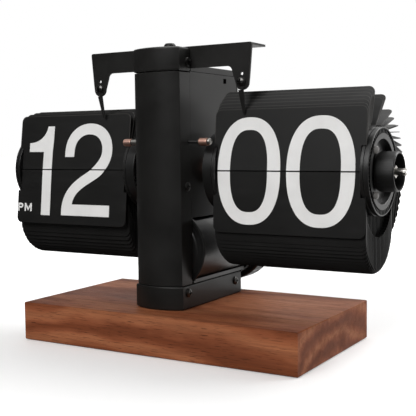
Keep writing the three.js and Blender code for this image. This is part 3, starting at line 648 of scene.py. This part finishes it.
def add_drums():
    drum_disc("minute_outer_end", "minute_outer_disc", 1, 96.9, 100.7, 1.75, posts=True)
    drum_disc("minute_inner_end", "minute_inner_disc", 1, 26.1, 19.6, 1.75, inner=True)
    drum_disc("hour_outer_end", "hour_outer_disc", -1, 94.5, 97.5, 1.9)
    drum_disc("hour_inner_end", "hour_inner_disc", -1, 26.1, 19.6, 3.35, inner=True)
    for word, side in (("minute", 1), ("hour", -1)):
        bm = bmesh.new()
        end = span_of(f"{word}_core", 0)[0 if side < 0 else 1] - CX
        turn(bm, "x", [(7.5, side * 26.25), (9, side * 26.25), (9, end), (7.5, end)], DRUM_AT, 72, 0.1, closed=True)
        finish_mesh(f"{word}_core_tube", bm, "black_plastic", body_of(f"{word}_core"), [f"{word}_core"])
        bm = bmesh.new()
        bore = 1.9 if side > 0 else 3.5
        turn(bm, "x", [(bore, side * 10.4), (4.6, side * 10.4), (4.6, side * 12.5), (6.2, side * 12.5), (6.2, side * 14.2), (bore, side * 14.2)],
             DRUM_AT, 48, 0.2, closed=True)
        finish_mesh(f"{word}_bush_ring", bm, "copper", "stand", [f"{word}_bush"])
    for node in ("minute_wheel", "hour_wheel", "reduction_wheel"):
        dress(node, "nylon", 0.05)
    dress("motor_pinion", "steel", 0.05)

    bm = bmesh.new()
    turn(bm, "x", [(0, -101.4), (1.3, -101.4), (1.6, -101.0), (1.6, 109.9), (0, 109.9)], DRUM_AT, 40, 0.1)
    for sign in (1, -1):
        arc = [(1.6 * math.cos(t), 1.6 * math.sin(t)) for t in [math.radians(a) for a in range(14, 167, 8)]]
        outline = arc if sign > 0 else [(u, -v) for u, v in reversed(arc)]
        prism(bm, outline, lambda u, v, w: (CX + w, AY + u, AZ + v), (109.85, 111.0))
    finish_mesh("axle_rod", bm, "steel", body_of("main_axle"), ["main_axle"])

    def fluted(radius, along, t):
        if radius > 8.8 and 100.0 < along < 107.4:
            return radius + 0.05 * math.cos(64 * t)
        return radius

    bm = bmesh.new()
    turn(bm, "x", [(1.75, 98.8), (8.3, 98.8), (8.7, 99.3), (8.85, 100.4), (8.85, 107.2), (8.7, 107.7), (8.55, 108),
                   (8.05, 108), (8.0, 107.6), (8.0, 103.4), (3.3, 103.4), (3.3, 104.2), (1.75, 104.2)], DRUM_AT, 384, 0.08, closed=True,
         radius_at=fluted)
    finish_mesh("knob", bm, "black_plastic", body_of("setting_knob"), ["setting_knob"], 35)
    dress("axle_nut", "steel", 0.3, "knob_nut")
    bm = bmesh.new()
    turn(bm, "x", [(1.75, -99.6), (3.2, -99.6), (3.2, -97.9), (1.75, -97.9)], DRUM_AT, 40, 0.25, closed=True)
    finish_mesh("axle_clip", bm, "steel", body_of("axle_end_clip"), ["axle_end_clip"])


# ------------------------------------------------------------------ leaves

LEAF = dict(near=24.7, in_near=26.4, length=28.4, corner=3.0, half=0.17)
HINGE_Y, HINGE_Z = AY - 17.5, AZ + 0.5
PIVOT_R = 17.1
KINDS = {
    "minute": dict(side=1, count=60, lean=6, tuck=2, stack=6, stack_lean=1.9, stop=83, far=98.9, in_far=96.6, notch=11.9,
                   bunches=[(9, 134), (11, 155), (12, 164), (14, 173)]),
    "hour": dict(side=-1, count=48, lean=8, tuck=6, stack=0, stack_lean=0, stop=97.2, far=96.5, in_far=94.2, notch=12.6,
                 bunches=[]),
}
BUNCH_STEP = 1.2
# Width of the lighter strip along the leaves' edges, a painted highlight.
EDGE_HIGHLIGHT_STRIP = 0.3


def leaf_outline(kind, root, notch, sign=1):
    near, far, corner, length, side = LEAF["near"], kind["far"], LEAF["corner"], LEAF["length"], kind["side"]
    points = [(LEAF["in_near"], root), (kind["in_far"], root), (kind["in_far"], notch), (far, notch)]
    for cx, start in ((far - corner, 0), (near + corner, 90)):
        for k in range(9):
            a = math.radians(start + k * 90 / 8)
            points.append((cx + corner * math.cos(a), length - corner + corner * math.sin(a)))
    points += [(near, notch), (LEAF["in_near"], notch)]
    return [(side * x, sign * z) for x, z in points]


def leaf_place(pivot_y, pivot_z, degrees):
    """Places (x, height, depth) of a leaf that stands on its pivot and is turned about X."""
    c, s = math.cos(math.radians(degrees)), math.sin(math.radians(degrees))

    def place(u, v, w):
        return (CX + u, pivot_y + w * c - v * s, pivot_z + w * s + v * c)

    return place


def leaf_angle(kind, place):
    if place <= kind["stack"]:
        return 90 + kind["lean"] + kind["stack_lean"] * place
    for last, angle in kind["bunches"]:
        if place <= last:
            return angle - BUNCH_STEP * (last - place)
    return min(270, 360 / kind["count"] * place + kind["stop"])


def add_leaf_pack(word, kind, rng):
    bm = bmesh.new()
    for place_no in range(1, kind["count"] - 1):
        pivot = math.radians(360 / kind["count"] * place_no)
        wander = rng.uniform(-0.35, 0.35) if place_no > kind["stack"] else 0.0
        at = leaf_place(AY - PIVOT_R * math.cos(pivot), AZ + PIVOT_R * math.sin(pivot), 90 - leaf_angle(kind, place_no) + wander)
        # Edge strips and sides high on each leaf get the lighter rim material, a painted highlight.
        prism(bm, leaf_outline(kind, -0.3, kind["notch"]), at, (-LEAF["half"], LEAF["half"]), 1, EDGE_HIGHLIGHT_STRIP, AZ + 14)
    finish_mesh(f"{word}_leaf_fan", bm, "leaf_plastic", f"{word}_leaves", [f"{word}_leaf_pack"], 30, rim="leaf_edge_highlight")


SHEET = (0.1, 0.46)


def add_shown_leaves(word, kind):
    for part, sign, turn_by, body in (("top", 1, -kind["lean"], f"{word}_flip_leaf"), ("bottom", -1, -kind["tuck"], f"{word}_leaves")):
        bm = bmesh.new()
        # Edge strips and sides high on the sheet get the lighter rim material, a painted highlight.
        prism(bm, leaf_outline(kind, 0.25, 11.2, sign), leaf_place(HINGE_Y, HINGE_Z, turn_by), SHEET, 1, EDGE_HIGHLIGHT_STRIP, AZ + 14)
        bevel(bm, 0.06, 60, 1)
        finish_mesh(f"{word}_{part}_sheet", bm, "leaf_plastic", body, [f"{word}_{part}_leaf"], 30, rim="leaf_edge_highlight")


# ------------------------------------------------------------------ numerals

GLYPH_HALF = 24.5
INK = 0.04
STROKE = 6.5


def loop_point(half_w, half_h, power, t):
    c, s = math.cos(t), math.sin(t)
    return half_w * math.copysign(abs(c) ** (2 / power), c), half_h * math.copysign(abs(s) ** (2 / power), s)


def zero(cx, half_w=16.05, steps=96):
    """A zero: outer and inner rounded loops as matched pairs."""
    pairs = []
    for i in range(steps + 1):
        t = 2 * math.pi * i / steps
        (a, b), (c, d) = loop_point(half_w, GLYPH_HALF, 2.33, t), loop_point(half_w - STROKE, GLYPH_HALF - 5.75, 2.6, t)
        pairs.append(((cx + a, b), (cx + c, d)))
    return pairs


def bezier(p0, p1, p2, p3, steps):
    out = []
    for i in range(1, steps + 1):
        t = i / steps
        m = 1 - t
        out.append(tuple(m ** 3 * a + 3 * m * m * t * b + 3 * m * t * t * c + t ** 3 * d for a, b, c, d in zip(p0, p1, p2, p3)))
    return out


def one(left, right, reach=9.95, low=9.3, high=14.0, top=22.8):
    """A one: a stem, and a flag that curves up into it on the left."""
    start = (left - reach, high)
    curve = [start] + bezier(start, (left - 4.6, high + 0.2), (left + 0.6, high + 2.2), (left + 2.15, top), 12)
    stem = [((left, z), (right, z)) for z in (-GLYPH_HALF + 0.4, 0, low)]
    flag = [((left - reach, low), (right, low))] + [((x, z), (right + 0.02 * z, z)) for x, z in curve]
    return [stem, flag]


def two(cx=-50.05):
    """A two: a bowl, a diagonal that eases into it, and a foot bar."""
    outer, inner = [(-15.15, 6.6)], [(-9.2, 6.6)]
    for i in range(33):
        t = math.pi * (1 - i / 32)
        lift = 0.3 * math.sin(t)
        (a, b), (c, d) = loop_point(15.15, 14.3, 2.1, t), loop_point(8.95, 8.7, 2.15, t)
        outer.append((a + lift, 9.5 + b))
        inner.append((c + lift - 0.1, 9.5 + d))
    outer += bezier(outer[-1], (15.15, 5.5), (13.25, 1.6), (9.15, -2.4), 10)
    inner += bezier(inner[-1], (8.85, 6.6), (6.55, 3.2), (0.95, -0.9), 10)
    outer += bezier(outer[-1], (3.55, -7.0), (-7.95, -9.5), (-9.25, -18.0), 14)
    inner += bezier(inner[-1], (-6.95, -5.2), (-15.55, -9.8), (-16.15, -21.0), 14)
    foot = -GLYPH_HALF + 0.7
    heel = [(outer[-1], inner[-1]), ((-9.25, foot), (-16.15, foot))]
    bar = [((-9.25, foot), (-9.25, -18.0)), ((14.95, foot), (14.95, -18.0))]
    strips = [list(zip(outer, inner)), heel, bar]
    return [[tuple((cx + x, z) for x, z in pair) for pair in strip] for strip in strips]


def bars(*rects):
    return [[((x0, z0), (x1, z0)), ((x0, z1), (x1, z1))] for x0, z0, x1, z1 in rects]


def clipped(polygon, limit, above):
    """The part of a convex polygon above (or below) a height."""
    out = []
    for i, a in enumerate(polygon):
        b = polygon[(i + 1) % len(polygon)]
        inside_a, inside_b = (a[1] >= limit, b[1] >= limit) if above else (a[1] <= limit, b[1] <= limit)
        if inside_a:
            out.append(a)
        if inside_a != inside_b:
            share = (limit - a[1]) / (b[1] - a[1])
            out.append((a[0] + share * (b[0] - a[0]), limit))
    return out


SPLIT_GAP = 0.32


def print_half(name, strips, upper, place, depth, body, mirror=1):
    """The upper or lower half of a numeral as a thin layer of ink. Heights are from the split."""
    bm = bmesh.new()
    low, high = depth
    for strip in strips:
        for (a, b), (c, d) in zip(strip, strip[1:]):
            quad = clipped([a, b, d, c], SPLIT_GAP if upper else -SPLIT_GAP, upper)
            unique = []
            for p in quad:
                if all(math.dist(p, q) > 1e-4 for q in unique):
                    unique.append(p)
            if len(unique) > 2:
                bm.faces.new([bm.verts.new(place(u, v * mirror, low)) for u, v in unique])
    bmesh.ops.remove_doubles(bm, verts=bm.verts, dist=0.003)
    bmesh.ops.recalc_face_normals(bm, faces=bm.faces)
    pulled = bmesh.ops.extrude_face_region(bm, geom=bm.faces[:])
    shift = Vector(place(0, 0, high)) - Vector(place(0, 0, low))
    bmesh.ops.translate(bm, verts=[g for g in pulled["geom"] if isinstance(g, bmesh.types.BMVert)], vec=shift)
    finish_mesh(name, bm, "white_print", body, sharp=30, weighted=False)


def add_numerals():
    zeros = [zero(42.95), zero(78.1, 16.15)]
    zero_one = [zeros[0]] + one(77.2, 83.2)
    twelve = one(-79.95, -73.85) + two()
    single = one(-55.0, -48.9)
    depth = (SHEET[0], SHEET[0] - INK)
    back = (SHEET[1], SHEET[1] + INK)
    for word, now, after in (("minute", zeros, zero_one), ("hour", twelve, single)):
        kind = KINDS[word]
        top = leaf_place(HINGE_Y, HINGE_Z, -kind["lean"])
        bottom = leaf_place(HINGE_Y, HINGE_Z, -kind["tuck"])
        print_half(f"{word}_number_top", now, True, top, depth, f"{word}_flip_leaf")
        print_half(f"{word}_number_bottom", now, False, bottom, depth, f"{word}_leaves")
        print_half(f"{word}_next_bottom", after, False, top, back, f"{word}_flip_leaf", mirror=-1)
        pivot = math.radians(360 / kind["count"])
        behind = leaf_place(AY - PIVOT_R * math.cos(pivot), AZ + PIVOT_R * math.sin(pivot), 90 - leaf_angle(kind, 1))
        print_half(f"{word}_next_top", after, True, behind, (-LEAF["half"], -LEAF["half"] - INK), f"{word}_leaves")
    add_day_half()


def add_day_half():
    """The small P M mark at the lower left of the hour leaf."""
    x0, width, height, z = -96.1, 9.6, 4.3, -20.2
    low, s = z - height / 2, 0.95
    p_w = 3.6
    bowl = []
    for i in range(13):
        t = math.pi / 2 - math.pi * i / 12
        cx, cz = x0 + p_w - 1.35, low + height - 1.3
        bowl.append(((cx + 1.35 * math.cos(t), cz + 1.3 * math.sin(t)), (cx + 0.45 * math.cos(t), cz + 0.42 * math.sin(t))))
    p = [[((x0, low), (x0 + s, low)), ((x0, low + height), (x0 + s, low + height))]]
    p.append([((x0 + s, low + height), (x0 + s, low + height - 0.88)), (bowl[0][0], bowl[0][1])])
    p.append([((x0 + s, low + height - 2.6), (x0 + s, low + height - 1.72)), (bowl[-1][0], bowl[-1][1])])
    p.append(bowl)
    m0, m1 = x0 + 4.6, x0 + width
    mid = (m0 + m1) / 2
    m = bars((m0, low, m0 + s, low + height), (m1 - s, low, m1, low + height))
    m.append([((m0 + s, low + height), (m0 + s, low + height - 1.6)), ((mid, low + 1.7), (mid, low + 0.2))])
    m.append([((m1 - s, low + height), (m1 - s, low + height - 1.6)), ((mid, low + 1.7), (mid, low + 0.2))])
    bottom = leaf_place(HINGE_Y, HINGE_Z, -KINDS["hour"]["tuck"])
    print_half("hour_day_half", p + m, False, bottom, (SHEET[0], SHEET[0] - INK), "hour_leaves")


# ------------------------------------------------------------------ the clock

# The disc's posts are black plastic drawn in a light grey: a painted highlight for the light their ends catch.
MATERIALS["post_plastic_painted_highlight"] = black_coat("post_plastic_painted_highlight", (0.11, 0.105, 0.1), 0.42, 0.2, 0.3)
add_stand()
add_top_button()
add_screws()
add_stops()
add_battery()
add_drums()
for offset, (word, kind) in enumerate(KINDS.items()):
    add_leaf_pack(word, kind, random.Random(41 + offset))
    add_shown_leaves(word, kind)
add_numerals()


# ------------------------------------------------------------------ stage, light and camera

FLOOR_GLOW = (0.15, 1.0)  # seen by the camera only: near the object, and far from it


def add_floor():
    bpy.ops.mesh.primitive_circle_add(vertices=96, radius=6.0, fill_type="NGON", location=(0, 0, -0.0002))
    floor = bpy.context.object
    floor.name = "floor"
    n = Nodes("floor_paper")
    n.set("Base Color", n.mix(n.span(n.noise(3, 3), 0, 1, 0.3, 0.7), (0.90, 0.90, 0.90), (0.92, 0.92, 0.92)))
    n.set("Roughness", 0.75)
    n.set("Specular IOR Level", 0.25)
    n.set("Emission Color", (1, 1, 1, 1))
    away = n.add("ShaderNodeVectorMath", operation="LENGTH")
    n.link(n.place, away.inputs[0])
    glow = n.span(away.outputs["Value"], *FLOOR_GLOW, 0.12, 1.2)
    n.set("Emission Strength", n.math("MULTIPLY", n.add("ShaderNodeLightPath").outputs["Is Camera Ray"], glow))
    floor.data.materials.append(n.material)
    floor.visible_glossy = False


def add_light(name, place, target, size, power, colour=(1, 1, 1)):
    data = bpy.data.lights.new(name, "AREA")
    data.shape = "RECTANGLE"
    data.size, data.size_y = size
    data.energy = power
    data.color = colour
    lamp = bpy.data.objects.new(name, data)
    lamp.location = place
    lamp.rotation_euler = (Vector(target) - Vector(place)).to_track_quat("-Z", "Y").to_euler()
    bpy.context.scene.collection.objects.link(lamp)


def add_world():
    """A white room behind and above, and a dim one on the camera's side."""
    world = bpy.data.worlds.new("studio")
    bpy.context.scene.world = world
    world.use_nodes = True
    tree = world.node_tree
    tree.nodes.clear()
    add = tree.nodes.new
    place = add("ShaderNodeTexCoord")
    split = add("ShaderNodeSeparateXYZ")
    tree.links.new(place.outputs["Generated"], split.inputs[0])

    def spread(source, low, high, start, end):
        node = add("ShaderNodeMapRange")
        node.interpolation_type = "SMOOTHSTEP"
        for key, value in (("From Min", start), ("From Max", end), ("To Min", low), ("To Max", high)):
            node.inputs[key].default_value = value
        tree.links.new(source, node.inputs["Value"])
        return node.outputs["Result"]

    def combine(operation, a, b):
        node = add("ShaderNodeMath")
        node.operation = operation
        for index, value in ((0, a), (1, b)):
            if isinstance(value, bpy.types.NodeSocket):
                tree.links.new(value, node.inputs[index])
            else:
                node.inputs[index].default_value = value
        return node.outputs[0]

    back = spread(split.outputs["Y"], 0.0, 1.05, 0.1, 0.65)
    up = spread(split.outputs["Z"], 0.0, 0.3, 0.3, 0.85)
    strength = combine("ADD", combine("ADD", back, up), 0.03)
    dim = add("ShaderNodeBackground")
    dim.inputs["Color"].default_value = (1, 0.995, 0.985, 1)
    tree.links.new(strength, dim.inputs["Strength"])
    white = add("ShaderNodeBackground")
    white.inputs["Color"].default_value = (1, 1, 1, 1)
    white.inputs["Strength"].default_value = 1.0
    path = add("ShaderNodeLightPath")
    mixer = add("ShaderNodeMixShader")
    tree.links.new(path.outputs["Is Camera Ray"], mixer.inputs[0])
    tree.links.new(dim.outputs[0], mixer.inputs[1])
    tree.links.new(white.outputs[0], mixer.inputs[2])
    out = add("ShaderNodeOutputWorld")
    tree.links.new(mixer.outputs[0], out.inputs["Surface"])


CAMERA_AT = (218.54, -353.96, 97.91)
LOOK = (-0.50886, 0.85730, -0.07806)
LENS, ROLL = 73.0, -0.7


def add_camera():
    data = bpy.data.cameras.new("camera")
    data.lens = LENS
    data.sensor_width = 36
    data.clip_start = 0.01
    camera = bpy.data.objects.new("camera", data)
    forward = Vector(LOOK).normalized()
    right = forward.cross(Vector((0, 0, 1))).normalized()
    up = right.cross(forward)
    a = math.radians(ROLL)
    side = right * math.cos(a) + up * math.sin(a)
    top = up * math.cos(a) - right * math.sin(a)
    turn_to = Matrix((side, top, -forward)).transposed().to_4x4()
    turn_to.translation = Vector(CAMERA_AT) * MM
    camera.matrix_world = turn_to
    bpy.context.scene.collection.objects.link(camera)
    bpy.context.scene.camera = camera


add_floor()
add_world()
add_light("front", (0.0, -1.15, 0.9), (0, 0, 0.08), (0.9, 0.7), 11.5)
add_light("back", (0.5, 0.75, 0.95), (0, 0, 0.05), (0.7, 0.7), 7)
add_light("top", (-0.1, 0.0, 1.2), (0, 0, 0.05), (1.0, 1.0), 2.0)
add_camera()
bpy.context.scene.view_settings.view_transform = "Standard"
bpy.context.scene.view_settings.look = "None"
